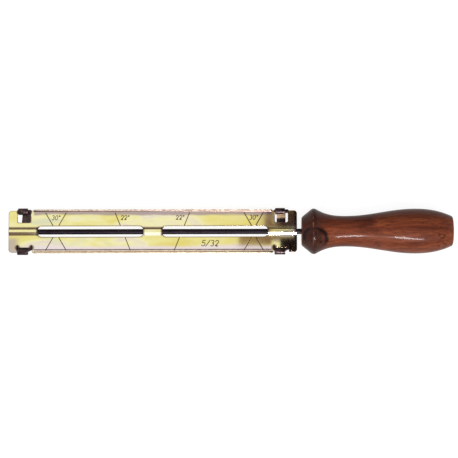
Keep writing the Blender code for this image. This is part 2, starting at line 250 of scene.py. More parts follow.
def longEdge(side):
    # One long edge of the blank, from the tip end to the handle end, as (x, s) points.
    corner, half = plate["corner"], plate["endHalfWidth"]
    turn = arcPoints((corner, half - corner), corner, 180, 90, 9)
    if side > 0:
        taper = plate["barTaper"]
        start, length = plate["windowInset"] - taper, plate["windowLength"] + 2 * taper
        xs = np.linspace(start, start + length, 61)
        feature = columns(xs, np.maximum(half, plate["barAt"] + barRadiusAt(xs)))
    else:
        left, r, edge = plate["notchInset"], plate["reliefRadius"], plate["notchEdge"]
        right, deep = left + plate["notchLength"], edge - plate["reliefDepth"] + r
        # deeper bites run towards the middle, so each relief's arc turns below its centre
        first, second = (arcPoints((centre, deep), r, 180, 360, 9) for centre in (left + r, right - r))
        notch = (left + 2 * r, edge), (right - 2 * r, edge)
        feature = np.vstack([(left, half), first, *notch, second, (right, half)])
    t, endEdge = np.linspace(0, 1, 9), toBlank(half)
    rising = plate["runOutStart"] + plate["runOut"] * t, endEdge + (flangeEdge - endEdge) * smooth(t)
    half = np.vstack([onBlank(np.vstack([turn, feature])), columns(*rising)])
    mirrored = half[::-1] * (-1, 1) + (plateLength, 0)
    return np.vstack([half, mirrored]) * (1, side)


def slotSpans():
    # Where each slot starts and ends: one inset from each end of the plate, a bridge between them.
    first = plate["slotInset"]
    each = (plateLength - 2 * first - plate["bridge"]) / 2
    return (first, first + each), (plateLength - first - each, plateLength - first)


def opening(left, right, low, high, lowCorner, highCorner, between=0):
    # A rounded opening in the blank, run clockwise: each corner is an arc of (radius, points), and both ends
    # have so many points between their corners.
    (wide, many), (tight, few) = lowCorner, highCorner
    ends = np.linspace(high - tight, low + wide, between + 2)[1:-1]
    return onBlank(np.vstack([
        arcPoints((right - tight, high - tight), tight, 90, 0, few),
        columns(right, ends),
        arcPoints((right - wide, low + wide), wide, 0, -90, many),
        arcPoints((left + wide, low + wide), wide, -90, -180, many),
        columns(left, ends[::-1]),
        arcPoints((left + tight, high - tight), tight, 180, 90, few),
    ]))


def slotLoops():
    half, corner = plate["slotHalfWidth"], (plate["slotCorner"], 13)
    for left, right in slotSpans():
        yield opening(left, right, -half, half, corner, corner, 3)


def windowLoops():
    low, high = plate["windowEdge"], plate["barAt"] - plate["barRadius"]
    wide, tight = (plate["windowCorner"], 9), (plate["windowCorner"] / 4, 5)
    for left, right in windowSpans():
        yield opening(left, right, low, high, wide, tight)


def inset(loop, distance):
    # The loop moved towards the material, which lies on its left, with mitred corners.
    normal = leftOf(np.roll(loop, -1, axis=0) - loop)
    before = np.roll(normal, 1, axis=0)
    mitre = (normal + before) / (1 + np.sum(normal * before, axis=1))[:, None]
    return loop + distance * mitre


def distanceTo(points, starts, ends):
    # Least distance from each point to a set of segments.
    least = np.full(len(points), np.inf)
    for first, last in zip(starts, ends):
        along = last - first
        share = np.clip((points - first) @ along / max(along @ along, 1e-12), 0, 1)
        least = np.minimum(least, np.linalg.norm(points - first - share[:, None] * along, axis=1))
    return least


def insideLoops(points, loops):
    # True where a point lies inside an odd number of loops.
    odd = np.zeros(len(points), bool)
    x, y = points.T
    for loop in loops:
        for (x0, y0), (x1, y1) in zip(loop, np.roll(loop, -1, axis=0)):
            if y0 != y1:
                odd ^= ((y0 > y) != (y1 > y)) & (x < (x1 - x0) * (y - y0) / (y1 - y0) + x0)
    return odd


# Stamped marks: angle lines across the plate and plain numbers beside them

marks = {
    "halfWidth": 0.38,
    "depth": 0.12,
    "outer": 13.5,
    "inner": 4.15,
    "vMiddles": (34.1, 176.8),
    "vDeg": 30.0,
    "vHalfGaps": (2.0, 1.5),
    "lineMiddles": (82.3, 125.0),
    "lineDeg": 22.0,
    "numbers": (
        # each with its left end, base line, height and the half width of its strokes
        ("30*", 31.0, 8.5, 3.1, 0.29),
        ("22*", 80.8, 8.5, 3.1, 0.29),
        ("22*", 120.4, 8.5, 3.1, 0.29),
        ("30*", 173.6, 8.5, 3.1, 0.29),
        ("5/32", 139.0, -10.6, 4.1, 0.35),
    ),
    "slantDeg": 10.0,
    "pitch": 0.78,
    "support": 0.07,
    "scatter": 0.45,
}

# Single-line strokes of each sign in a box 0.62 wide and 1 high
glyphs = {
    "0": [arcPoints((0, 0), 1, 0, 360, 21) * (0.28, 0.5) + (0.3, 0.5)],
    "2": [np.vstack([arcPoints((0.3, 0.72), 0.27, 170, -35, 12), (0.06, 0), (0.58, 0)])],
    "3": [arcPoints((0.27, 0.76), 0.24, 135, -80, 12), arcPoints((0.27, 0.26), 0.27, 80, -135, 12)],
    "5": [np.vstack([(0.56, 1), (0.12, 1), (0.08, 0.56), arcPoints((0.28, 0.32), 0.31, 110, -150, 12)])],
    "/": [np.array([(0.0, -0.05), (0.6, 1.05)])],
    "*": [arcPoints((0.16, 0.86), 0.13, 0, 360, 11)],
}


def numberStrokes(text, left, base, height):
    # A number's strokes side by side, leaning over in proportion to their height.
    lean = math.tan(math.radians(marks["slantDeg"]))
    for place, letter in enumerate(text):
        for stroke in glyphs[letter]:
            x = left + height * (stroke[:, 0] + marks["pitch"] * place) + lean * height * stroke[:, 1]
            yield columns(x, base + height * stroke[:, 1])


def markStrokes():
    # Every stamped stroke as (half width, points across the finished plate).
    outer, inner = marks["outer"], marks["inner"]
    slope = math.tan(math.radians(marks["vDeg"]))
    for middle, gap in zip(marks["vMiddles"], marks["vHalfGaps"]):
        for side in (-1, 1):
            for end in (-1, 1):
                near, far = middle + side * gap, middle + side * (gap + slope * (outer - inner))
                yield marks["halfWidth"], np.array([(near, end * inner), (far, end * outer)])
    slope = math.tan(math.radians(marks["lineDeg"]))
    for middle, lean in zip(marks["lineMiddles"], (-1, 1)):
        for end in (-1, 1):
            places = [(middle + lean * slope * end * y, end * y) for y in (inner, outer)]
            yield marks["halfWidth"], np.array(places)
    for text, left, base, height, halfWidth in marks["numbers"]:
        for stroke in numberStrokes(text, left, base, height):
            yield halfWidth, stroke


def aroundStroke(stroke, distance):
    # The closed line at one distance from an open stroke, with half circles round its two ends.
    along = np.gradient(stroke, axis=0)
    out = leftOf(along) * -distance
    lastDeg, firstDeg = (math.degrees(math.atan2(*along[i][::-1])) for i in (-1, 0))
    lastCap = arcPoints(stroke[-1], distance, lastDeg - 60, lastDeg + 60, 5)
    firstCap = arcPoints(stroke[0], distance, firstDeg + 120, firstDeg + 240, 5)
    return np.vstack([stroke + out, lastCap, (stroke - out)[::-1], firstCap])


def supportLines():
    # The straight lines that the blank's triangles keep: along its section, across it, and close together
    # where the flanges run out and at the hinge bars.
    support, step = plate["edgeSupport"], plate["gridStep"]
    sections = (
        np.linspace(0, ribEnd, 7),
        np.linspace(ribEnd, footEnd, 6)[1:],
        [footEnd + support],
        np.arange(footEnd + step, bendStart - 1, step),
        [bendStart - support],
        np.linspace(bendStart, bendStart + bendLength, 9),
    )
    for s in np.concatenate(sections):
        for side in (-1, 1) if s else (1,):
            yield (-1, side * s), (plateLength + 1, side * s)
    ends = np.linspace(0.4, plate["endRollLength"], 5)
    inner = np.arange(plate["endRollLength"], plateLength - plate["endRollLength"], step)[1:]
    for x in np.concatenate([ends, inner, plateLength - ends]):
        yield (x, -flangeEdge - 1), (x, flangeEdge + 1)
    for x in plate["runOutStart"] + plate["runOut"] * np.linspace(0, 1, 8):
        for place in (x, plateLength - x):
            for side in (-1, 1):
                yield (place, side * (bendStart - 1)), (place, side * (flangeEdge + 1))
    around = plate["barAt"] + plate["barRadius"] * np.sin(np.radians(np.arange(-75, 76, 15)))
    below, above = toBlank(plate["barAt"] - plate["barZone"]), toBlank(plate["barAt"] + plate["barZone"])
    taper = plate["barTaper"]
    for left, right in windowSpans():
        for s in toBlank(around):
            yield (left - taper - 0.1, s), (right + taper + 0.1, s)
        for past in np.linspace(0, taper, 9):
            for place in (left - past, right + past):
                yield (place, below), (place, above)


def triangulateBlank(loops, strokes):
    # The blank's triangles, which keep its edges, their rounding, the support lines and the marks as lines.
    points, edges = [], []

    def addLine(line, closed=False):
        first = len(points)
        points.extend(Vector(p) for p in np.asarray(line).tolist())
        edges.extend((first + i, first + i + 1) for i in range(len(line) - 1))
        if closed:
            edges.append((first + len(line) - 1, first))

    r = plate["edgeRound"]
    for loop in loops:
        for distance in (0, r * (1 - math.cos(math.pi / 6)), r / 2, r, r + plate["edgeSupport"]):
            addLine(inset(loop, distance) if distance else loop, True)
    for line in supportLines():
        addLine(line)
    for halfWidth, stroke in strokes:
        addLine(stroke)
        for distance in (halfWidth, halfWidth + marks["support"]):
            addLine(aroundStroke(stroke, distance), True)
    # a finer grid of points round each number keeps its strokes crisp
    step = marks["scatter"]
    for text, left, base, height, _ in marks["numbers"]:
        right = left + 0.8 * height * (len(text) + 0.4)
        x, y = np.meshgrid(np.arange(left - 1, right, step), np.arange(base - 1, base + height + 1, step))
        grid = columns(x.ravel(), toBlank(y.ravel()))
        gap = np.min([distanceTo(grid, line[:-1], line[1:]) - width for width, line in strokes], axis=0)
        points.extend(Vector(p) for p in grid[gap > marks["support"] + step / 3].tolist())
    made = delaunay_2d_cdt(points, edges, [], 0, 1e-6)
    flat = np.array([tuple(p) for p in made[0]])
    triangles = np.array([face for face in made[2] if len(face) == 3])
    triangles = triangles[insideLoops(flat[triangles].mean(axis=1), loops)]
    a, b, c = (flat[triangles[:, i]] for i in range(3))
    area = (b[:, 0] - a[:, 0]) * (c[:, 1] - a[:, 1]) - (b[:, 1] - a[:, 1]) * (c[:, 0] - a[:, 0])
    triangles = np.where((area > 0)[:, None], triangles, triangles[:, ::-1])
    used, triangles = np.unique(triangles, return_inverse=True)
    return flat[used], triangles.reshape(-1, 3)


def halfThickness(x, y, fromEdge):
    # Half the sheet, rounded off towards its edges, or the hinge bar's circle where that is thicker.
    r, half = plate["edgeRound"], plate["sheet"] / 2
    inEdge = np.clip(r - fromEdge, 0, r)
    sheet = half - r + np.sqrt(r * r - inEdge**2)
    radius = barRadiusAt(x)
    bar = np.sqrt(np.clip(radius**2 - (y - plate["barAt"]) ** 2, 0, None))
    share = np.where(y > plate["barAt"], radius / plate["barRadius"], 0)
    for left, right in windowSpans():
        share = np.where((x > left) & (x < right) & (y > plate["barAt"] - plate["barZone"]), 1, share)
    return np.maximum(np.maximum(sheet * (1 - share), bar), plate["thinnest"])


def sheetWave(x, y):
    # Slight unevenness of a stamped sheet: three slow waves across each other, ends that droop by the square
    # of the way past a line, and one round bulge beside the handle clip's notch.
    wave = np.sin(x / 13.0 + 0.4 * np.sin(y / 7.0)) + 0.7 * np.sin(x / 7.1 + y / 5.3 + 1.3)
    wave = plate["wave"] * (wave + 0.6 * np.sin(x / 23.0 - y / 9.0 + 2.2)) * np.exp(-((y / 12.5) ** 6))
    fromEnd = np.minimum(x, plateLength - x)
    rolled = plate["endRoll"] * np.clip(1 - fromEnd / plate["endRollLength"], 0, 1) ** 2
    bulgeX, bulgeY, reachX, reachY, height = plate["bulge"]
    bulge = height * np.exp(-(((x - bulgeX) / reachX) ** 2) - ((y - bulgeY) / reachY) ** 2)
    return wave - rolled + bulge


def makePlate(material):
    # Both faces of the sheet stand half its thickness from its bent middle, and walls close it round its
    # edges. The marks press the upper face in by their depth, less with the distance from their middle line.
    outer = np.vstack([longEdge(-1), longEdge(1)[::-1]])
    loops = [outer, *slotLoops(), *windowLoops()]
    strokes = [(width, onBlank(line)) for width, line in markStrokes()]
    flat, triangles = triangulateBlank(loops, strokes)
    x, s = flat.T
    fromEdge = np.min([distanceTo(flat, loop, np.roll(loop, -1, axis=0)) for loop in loops], axis=0)
    mark, pressed = np.zeros(len(flat)), np.zeros(len(flat))
    for width, stroke in strokes:
        near = 1 - distanceTo(flat, stroke[:-1], stroke[1:]) / width
        mark = np.maximum(mark, near)
        pressed = np.maximum(pressed, near * width / marks["halfWidth"])
    y, z, slope = bentSheet(x, s)
    half = halfThickness(x, y, fromEdge)
    middle = columns(tipEnd + x, y, z + sheetWave(x, y))
    normal = columns(0.0, -np.sin(slope), np.cos(slope))
    top = middle + normal * (half - marks["depth"] * pressed)[:, None]
    bottom = middle - normal * half[:, None]
    count = len(flat)
    sides = np.vstack([triangles[:, (0, 1)], triangles[:, (1, 2)], triangles[:, (2, 0)]])
    keys = np.sort(sides, axis=1)
    _, first, counts = np.unique(keys, axis=0, return_index=True, return_counts=True)
    rim = sides[first[counts == 1]]
    walls = columns(rim[:, 1], rim[:, 0], rim[:, 0] + count, rim[:, 1] + count)
    faces = triangles.tolist() + (triangles[:, ::-1] + count).tolist() + walls.tolist()
    bar = np.clip(barRadiusAt(x) / plate["barRadius"], 0, 1) * smooth((y - plate["barAt"] + 1.6) / 0.3)
    # the material draws its lines along the plate from the distance across the blank
    makePiece(
        "plateSheet", np.vstack([top, bottom]), faces, material, "plate", "guide_plate", "yellow_zinc",
        mark=np.concatenate([mark, np.zeros(count)]),
        rimShare=np.tile(1 - np.clip(fromEdge / plate["rimReach"], 0, 1), 2),
        barShare=np.tile(bar, 2),
        blankAcross=np.tile(s, 2),
        between=np.tile(bendShare(x), 2),
    )


# Spring clips: one strap of sheet carried along its bent path

clip = {
    "sheet": 0.7,
    "headWidth": 7.0,
    "strapWidth": 6.4,
    "hookWidth": 7.8,
    "strapOverhangs": {"tip_clip": 2.4, "handle_clip": 0.6},
    "hookOverhang": 0.2,
    "shoulder": 1.0,
    "tabLength": 6.2,
    "tabRise": 1.8,
    "tabFall": 1.7,
    "tabReach": (0.9, 3.1),
    "eyePoints": 56,
    "flatPoints": 36,
    "hookPoints": 52,
    "corner": 0.8,
    "saddleFillet": 1.2,
    "hookWrapDeg": 255.0,
    "eyeCloseDeg": 3.0,
    "edgeRound": 0.17,
    "wornFrom": -1.5,
    "wornTo": 5.5,
}


def clipPath():
    # The strap's middle line in (y, z): eye, flat, saddle under the file, flat again and curled hook.
    barAt, eyeInner = plate["barAt"], plate["barRadius"] + plate["ribGap"]
    eyeRadius, eyeOuter = eyeInner + clip["sheet"] / 2, eyeInner + clip["sheet"]
    strap = flatLevel - eyeRadius
    saddle = fileRadius + plate["ribGap"] + clip["sheet"] / 2
    fillet = clip["saddleFillet"]
    filletLevel = strap - fillet
    filletAt = math.sqrt((saddle + fillet) ** 2 - filletLevel**2)
    meet = math.degrees(math.atan2(-filletLevel, filletAt))
    close = math.degrees(math.asin(plate["barRadius"] / eyeOuter)) - clip["eyeCloseDeg"]
    flat = np.linspace(barAt, filletAt, clip["flatPoints"] + 2)[1:-1]
    flat = columns(flat, strap)
    return np.vstack([
        arcPoints((barAt, flatLevel), eyeRadius, 180 + close, -90, clip["eyePoints"]),
        flat,
        arcPoints((filletAt, filletLevel), fillet, 90, 180 - meet, 10),
        arcPoints((0, 0), saddle, -meet, meet - 180, 28)[1:],
        arcPoints((-filletAt, filletLevel), fillet, meet, 90, 10)[1:],
        flat[::-1] * (-1, 1),
        arcPoints((-barAt, flatLevel), eyeRadius, -90, -90 - clip["hookWrapDeg"], clip["hookPoints"]),
    ])


def stripSection(rounding):
    # Corner signs and offsets of a rounded strip's section, as (side, face, out, up) rows.
    rows = []
    for side, face, start in ((1, 1, 0), (-1, 1, 90), (-1, -1, 180), (1, -1, 270)):
        for angle in np.radians(start + np.array([0, 30, 60, 90])):
            rows.append((side, face, rounding * math.cos(angle), rounding * math.sin(angle)))
    return np.array(rows)


def tripleEnds(rows):
    # The first and the last row three times, for the rings that round off a strap's ends.
    return np.concatenate([np.repeat(rows[:1], 3, 0), rows[1:-1], np.repeat(rows[-1:], 3, 0)])


def makeClip(name, node, material, wearAndHighlight):
    # The strip's rounded section at every point of the path, as wide as the strap is there.
    path = clipPath()
    run = np.concatenate([[0], np.cumsum(np.linalg.norm(np.diff(path, axis=0), axis=1))])
    total, roll, hookStart = run[-1], run[clip["eyePoints"] - 1], run[-clip["hookPoints"]]
    # a wide head, a waist that starts past the head's right side and leans back, a wide tab that shows
    # through the notch's reliefs, and the hook
    hookLeft = clipBoxes[node][0][0]
    last = hookLeft + clip["hookWidth"]
    head = last - clip["hookOverhang"]
    first = head + clip["strapOverhangs"][node]
    waistEnd = hookStart - clip["tabLength"]
    stops = (roll, roll + clip["shoulder"], waistEnd, waistEnd + clip["shoulder"])
    waist = (first - clip["strapWidth"], last - clip["strapWidth"])
    tab = hump(run, waistEnd, hookStart, clip["tabRise"], clip["tabFall"])
    lows = np.interp(run, stops, (head - clip["headWidth"], *waist, hookLeft)) - tab * clip["tabReach"][0]
    highs = np.interp(run, stops[:3], (head, first, last)) + tab * clip["tabReach"][1]
    fromEnd = np.clip(clip["corner"] - np.minimum(run, total - run), 0, clip["corner"])
    drawnIn = clip["corner"] - np.sqrt(clip["corner"] ** 2 - fromEnd**2)
    lows, highs = lows + drawnIn, highs - drawnIn
    tangent = np.gradient(path, axis=0)
    tangent /= np.linalg.norm(tangent, axis=1)[:, None]
    r = clip["edgeRound"]
    # three more rings round off each end of the strap
    tip = np.radians([90, 60, 30])
    drop, back = r * (1 - np.cos(tip)), r - r * np.sin(tip)
    firstRings, lastRings = path[0] + np.outer(back, tangent[0]), path[-1] - np.outer(back[::-1], tangent[-1])
    path = np.vstack([firstRings, path[1:-1], lastRings])
    thin = np.concatenate([drop, np.zeros(len(path) - 6), drop[::-1]])
    tangent, lows, highs, run = (tripleEnds(rows) for rows in (tangent, lows, highs, run))
    side, face, out, up = stripSection(r).T
    half = ((highs - lows) / 2 - thin)[:, None]
    x = ((highs + lows) / 2)[:, None] + side * (half - r) + out
    thick = face * (clip["sheet"] / 2 - r - thin[:, None]) + up
    normal = leftOf(tangent)
    yz = path[:, None, :] + normal[:, None, :] * thick[:, :, None]
    points = np.concatenate([x[:, :, None], yz], axis=2).reshape(-1, 3)
    # rubbed, and given a painted highlight, on the stretch between the eye and the plate's edge
    along = np.repeat(run, len(side))
    makePiece(
        name, points, ringFaces(len(path), len(side), 1), material, node, node, "black_spring_steel", 30,
        worn=wearAndHighlight * hump(along, roll + clip["wornFrom"], roll + clip["wornTo"], 1.0, 1.5),
    )


# Round file: teeth along a few crossing spirals, and a tapered tang

file = {
    "length": 203.2,
    "tipChamfer": 0.5,
    "toothPitch": 0.8,
    "toothDepth": 0.12,
    "toothStarts": 5,
    "stepsPerTooth": 5,
    "smoothHeel": 5.0,
    "around": 40,
    "tangLength": 44.0,
    "tangShoulder": 9.0,
    "tangTipRadius": 0.9,
    "tangFlats": (0.94, 0.6),
}


def tangRadius(fromHeel):
    # The tang tapers evenly from the file's radius to its tip's.
    return fileRadius + (file["tangTipRadius"] - fileRadius) * fromHeel / file["tangLength"]


def makeFile(material):
    # Rings of points round the file. A tooth rises slowly along a spiral and drops at its end; a fainter
    # spiral the other way breaks the teeth up. The tang is a circle cut by two pairs of flats.
    chamfer, length = file["tipChamfer"], file["length"]
    toothed = np.arange(chamfer, length, file["toothPitch"] / file["stepsPerTooth"])
    tang = length + np.linspace(0, file["tangLength"], 60)
    along, around = turnedGrid(np.concatenate([[0, 0.01], toothed, tang]), file["around"])
    radius = np.where(along <= length, fileRadius, tangRadius(along - length))
    radius = np.where(along < chamfer, fileRadius - chamfer + along, radius)
    turns = file["toothStarts"] * around / (2 * math.pi)
    tooth = np.mod(along / file["toothPitch"] + turns, 1)
    across = 0.5 + 0.5 * np.cos(2 * math.pi * (along / file["toothPitch"] - 2 * turns))
    cut = file["toothDepth"] * (0.75 * tooth + 0.25 * across)
    depth = hump(along, 1, length - 0.5, 2, file["smoothHeel"])
    radius = radius - cut * depth
    flattening = np.clip((along - length) / file["tangShoulder"], 0, 1)
    full = tangRadius(np.maximum(along - length, 0))
    width, thick = (full * (1 - flattening * (1 - share)) for share in file["tangFlats"])
    reach = 1 / np.maximum(np.abs(np.cos(around)) / width, np.abs(np.sin(around)) / thick)
    radius = np.where(along > length, np.minimum(radius, reach), radius)
    mesh = turnedMesh(fileLow[0] + along, radius, around)
    makePiece(
        "roundFileTeeth", *mesh, material, "file", "round_file", "file_steel", 32,
        toothDepth=(cut * depth / file["toothDepth"]).ravel(),
    )


# Turned handle: one profile from the hole's floor round to the butt, turned about the file's axis

handle = {
    "length": 109.1,
    "frontRadius": 9.5,
    "frontEdge": 1.3,
    "beadRadius": 16.5,
    "beadAt": 8.9,
    "beadRound": 2.1,
    "beadDrop": 0.75,
    "neck": (32.1, 11.05),
    "belly": (81.9, 16.2),
    "buttRadius": 10.5,
    "buttEdge": 1.2,
    "neckPower": 2.6,
    "buttPower": 2.3,
    "holeRoom": 1.5,
    "knot": (60.1, -8.2, 14.3),
    "knotRadius": 9.3,
    "knotWidth": 2.8,
    "around": 128,
}


def curve(first, corner, last, count):
    # A quadratic curve that leaves first towards the corner and reaches last from it.
    t = np.linspace(0, 1, count)[:, None]
    return (1 - t) ** 2 * np.array(first) + 2 * t * (1 - t) * np.array(corner) + t**2 * np.array(last)


def stretchBetween(first, last, t, share):
    # From one (along, radius) point to another, evenly along and by the share in radius.
    return columns(first[0] + (last[0] - first[0]) * t, first[1] + (last[1] - first[1]) * share)


def handleProfile():
    # (along, radius) from the hole's floor out of its mouth, over the bead, neck and belly to the butt's
    # middle. The neck falls by a power, the belly rises by half a cosine wave and falls by another power.
    # Neck, belly, cone and bead are given by (along, radius) points.
    h, gap, tip = handle, plate["ribGap"], file["tangTipRadius"]
    tangEnd = fileHigh[0] - handleLow[0]
    floor = tangEnd + h["holeRoom"]
    mouth = tangRadius(handleLow[0] - fileLow[0] - file["length"]) + gap
    halfway = (tangEnd / 2, (tip + gap + mouth) / 2)
    hole = [(floor, 0.02), (floor, tip), (tangEnd, tip + gap), halfway, (0.25, mouth), (0, mouth + 0.25)]
    front, edge, shoulder = h["frontRadius"], h["frontEdge"], h["beadRadius"] - h["beadDrop"]
    coneEnd, fallStart = ((h["beadAt"] + side * h["beadRound"], shoulder) for side in (-1, 1))
    slope = (shoulder - front - edge / 2) / coneEnd[0]
    faceEdge = (edge, front + edge / 2 + slope * edge)
    face = [(0, mouth + 0.35), (0, (mouth + front) / 2), (0, front - 0.1)]
    rounding = curve((0, front), (0, front + edge / 2), faceEdge, 9)
    cone = np.linspace(faceEdge, coneEnd, 8)[1:-1]
    bead = curve(coneEnd, (h["beadAt"], h["beadRadius"] + h["beadDrop"]), fallStart, 17)
    t = np.linspace(0, 1, 36)[1:]
    neck = stretchBetween(fallStart, h["neck"], t, 1 - (1 - t) ** h["neckPower"])
    t = np.linspace(0, 1, 49)[1:]
    swell = stretchBetween(h["neck"], h["belly"], t, (1 - np.cos(math.pi * t)) / 2)
    length, corner, buttFlat = h["length"], h["buttRadius"], h["buttRadius"] - h["buttEdge"]
    t = np.linspace(0, 1 - h["buttEdge"] / (length - h["belly"][0]), 36)[1:]
    belly = stretchBetween(h["belly"], (length, corner), t, t ** h["buttPower"])
    butt = curve(belly[-1], (length, corner), (length, buttFlat), 9)[1:]
    end = [(length, buttFlat - 0.1), (length, corner / 2), (length, 0.02)]
    return np.vstack([hole, face, rounding, cone, bead, neck, swell, belly, butt, end])


def makeHandle(material):
    # The profile at every angle round the file's axis.
    profile = handleProfile()
    along, around = turnedGrid(handleLow[0] + profile[:, 0], handle["around"])
    mesh = turnedMesh(along, np.repeat(profile[:, 1:], handle["around"], axis=1), around)
    makePiece("turnedHandle", *mesh, material, "handle", "handle", "varnished_wood", 50)


def linear(red, green, blue):
    # A colour picked on screen, 0 to 255, as the shader's linear value.
    values = np.array([red, green, blue]) / 255
    return (*np.where(values <= 0.04045, values / 12.92, ((values + 0.055) / 1.055) ** 2.4), 1)


def feed(socket, value):
    # A socket takes another node's output or a plain value.
    if isinstance(value, bpy.types.NodeSocket):
        socket.id_data.links.new(value, socket)
    else:
        socket.default_value = value


def addNode(tree, kind, inputs=None, **settings):
    # The outputs of a new shader node with its settings, and with its inputs fed by name or by number.
    made = tree.nodes.new("ShaderNode" + kind)
    for key, value in settings.items():
        setattr(made, key, value)
    for socket, value in (inputs or {}).items():
        feed(made.inputs[socket], value)
    return made.outputs


class Finish:
    # A material on one Principled shader: its base colour so far and short calls for the nodes that feed it.

    def __init__(self, name, **constants):
        self.material = bpy.data.materials.new(name)
        self.material.use_nodes = True
        self.tree = self.material.node_tree
        for socket, value in constants.items():
            self.set(socket.replace("_", " "), value)
        self.place = self.node("TexCoord")["Object"]
        self.colour = None

    def set(self, socket, value):
        feed(self.tree.nodes["Principled BSDF"].inputs[socket], value)

    def node(self, kind, inputs=None, **settings):
        return addNode(self.tree, kind, inputs, **settings)

    def stretched(self, scale, turn=(0, 0, 0), move=(0, 0, 0)):
        inputs = {"Vector": self.place, "Scale": scale, "Rotation": turn, "Location": move}
        return self.node("Mapping", inputs)[0]

    def noise(self, scale, detail=3, rough=0.5, warp=0, stretch=None, **shift):
        # So many waves in a metre, on the piece's own place or on a stretched, moved or turned one.
        vector = self.stretched(stretch, **shift) if stretch else self.place
        inputs = {"Vector": vector, "Scale": scale, "Detail": detail, "Roughness": rough, "Distortion": warp}
        return self.node("TexNoise", inputs)[0]

    def math(self, operation, first, second=0.0, clamp=False):
        return self.node("Math", {0: first, 1: second}, operation=operation, use_clamp=clamp)[0]

    def times(self, share, *others):
        for other in others:
            share = self.math("MULTIPLY", share, other)
        return share

    def most(self, first, second):
        return self.math("MAXIMUM", first, second)

    def away(self, value, place):
        return self.math("ABSOLUTE", self.math("SUBTRACT", value, place))

    def squares(self, *terms):
        # The sum of the squares of each (value, place, reach): a value's distance from a place in
        # millimetres, counted in reaches.
        total = 0.0
        for value, place, reach in terms:
            far = self.math("DIVIDE", self.math("SUBTRACT", value, place * mm), reach * mm)
            total = self.math("ADD", total, self.times(far, far))
        return total

    def range(self, value, low, high, toLow=0.0, toHigh=1.0):
        # Eases from one value to another while the input goes from low to high.
        inputs = dict(enumerate((value, low, high, toLow, toHigh)))
        return self.node("MapRange", inputs, interpolation_type="SMOOTHSTEP")[0]

    def mix(self, share, first, second):
        # Two colours mixed; a tuple is a colour picked on screen.
        first, second = (linear(*item) if isinstance(item, tuple) else item for item in (first, second))
        return self.node("Mix", {0: share, 6: first, 7: second}, data_type="RGBA")[2]

    def tint(self, screen, *shares):
        # The base colour so far, mixed with a colour picked on screen by the product of the shares.
        self.colour = self.mix(self.times(*shares), self.colour, screen)

    def ramp(self, value, *stops):
        # The first base colour: picked colours at their places along a value.
        self.colour = self.node("ValToRGB", {"Fac": value})[0]
        elements = self.colour.node.color_ramp.elements
        for index, (place, *screen) in enumerate(stops):
            element = elements[index] if index < 2 else elements.new(place)
            element.position, element.color = place, linear(*screen)

    def attribute(self, name):
        return self.node("Attribute", attribute_name=name)["Fac"]

    def axes(self):
        return self.node("SeparateXYZ", {"Vector": self.place})

    def bump(self, height, distance, strength=1.0, after=None):
        inputs = {"Height": height, "Distance": distance, "Strength": strength}
        return self.node("Bump", inputs | ({"Normal": after} if after else {}))[0]

    def done(self, rough, normal):
        # The material, with its colour, roughness and surface fed.
        for socket, value in (("Base Color", self.colour), ("Roughness", rough), ("Normal", normal)):
            self.set(socket, value)
        return self.material


